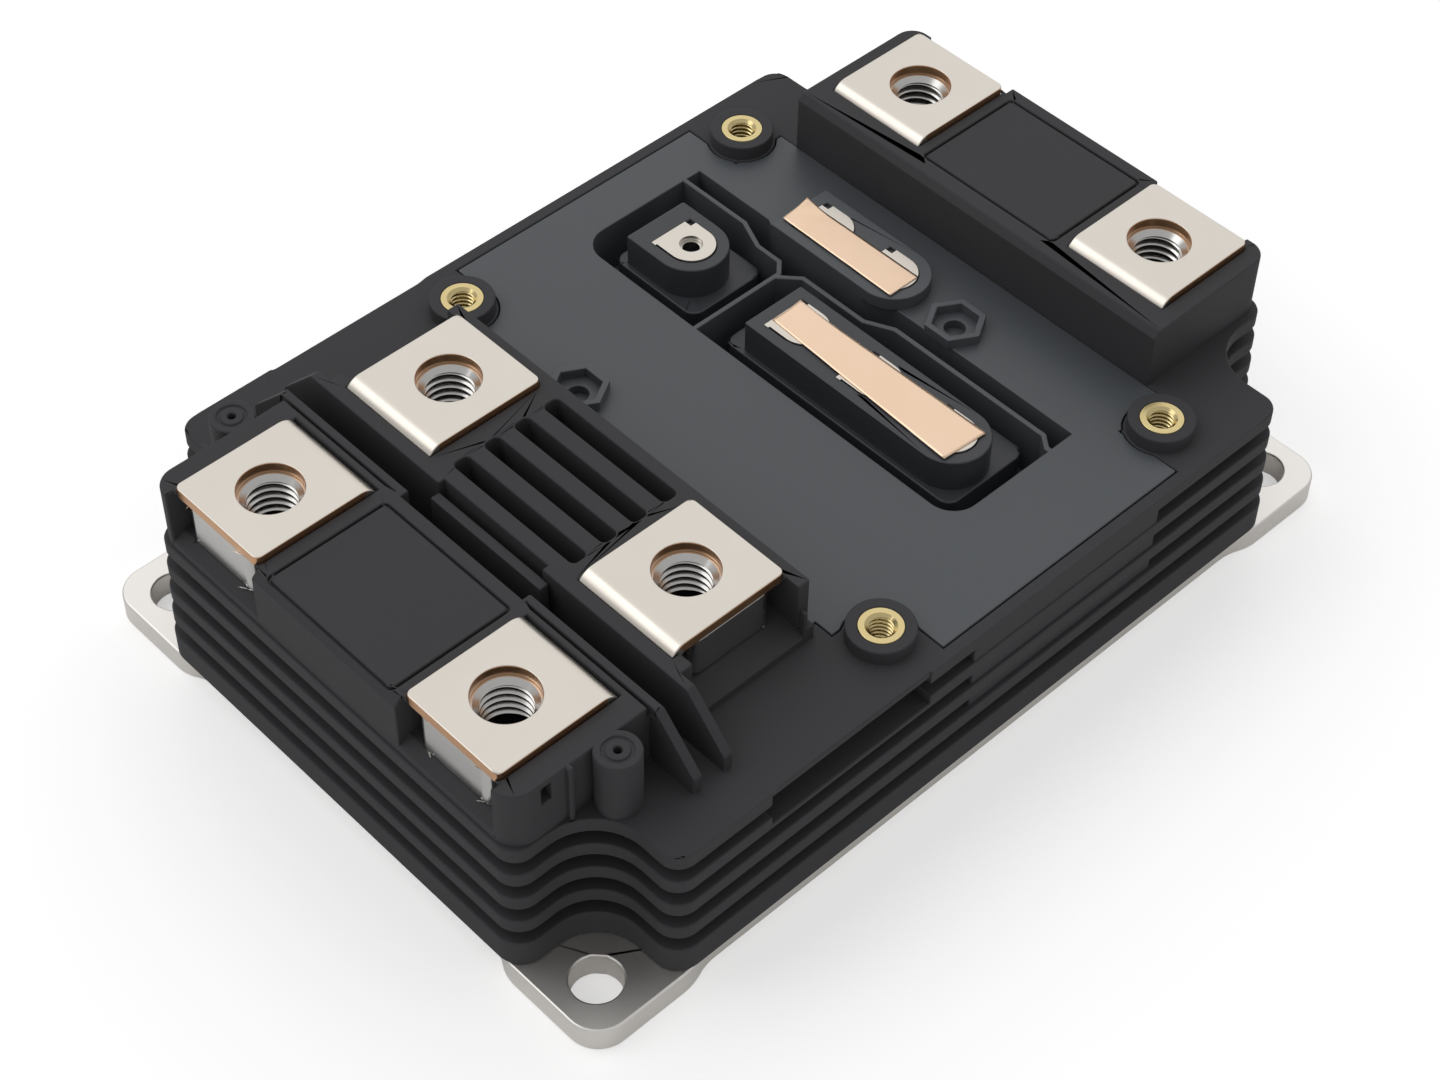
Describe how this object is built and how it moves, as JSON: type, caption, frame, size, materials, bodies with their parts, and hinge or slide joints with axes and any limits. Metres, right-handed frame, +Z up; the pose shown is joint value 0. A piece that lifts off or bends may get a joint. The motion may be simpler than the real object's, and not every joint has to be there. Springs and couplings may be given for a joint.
{
  "type": "igbt module",
  "caption": "Flat six-terminal half-bridge power semiconductor module with a metal base plate, ribbed black case, raised terminal blocks and recessed control terminals.",
  "frame": {"origin": "centre of the base plate's underside", "axes": "+Z up out of the terminals, -Y towards the DC terminals, +Y towards the AC terminals, +X to the right seen from the DC end"},
  "size_m": [0.1, 0.1404, 0.0371],
  "materials": {
    "nickel": "satin",
    "sealant": "matte",
    "case_plastic": "matte",
    "cover_plastic": "satin",
    "nickel_copper": "satin",
    "steel": "satin",
    "brass": "polished",
    "copper": "satin",
    "solder": "satin",
    "ceramic": "matte",
    "silicon": "polished",
    "ceramic_dark": "matte",
    "aluminium_wire": "satin",
    "gel": "gloss"
  },
  "bodies": {
    "root": {"base_plate": "nickel", "base_seal": "sealant", "case": "case_plastic", "top_cover": "cover_plastic", "terminal_holder": "cover_plastic", "dc_front_busbar": "nickel_copper", "dc_rear_busbar": "nickel_copper", "ac_busbar": "nickel_copper", "main_nuts": "steel", "control_inserts": "brass", "aux_terminals": "nickel_copper", "aux_nuts": "steel", "foil_short": "copper", "foil_long": "copper", "substrate_solder": "solder", "substrate_back_copper": "copper", "substrate_ceramics": "ceramic", "substrate_tracks": "copper", "chip_solder": "solder", "igbt_chips": "silicon", "diode_chips": "silicon", "thermistor": "ceramic_dark", "bond_wires": "aluminium_wire", "link_wires": "aluminium_wire", "gel_fill": "gel"}
  },
  "joints": []
}
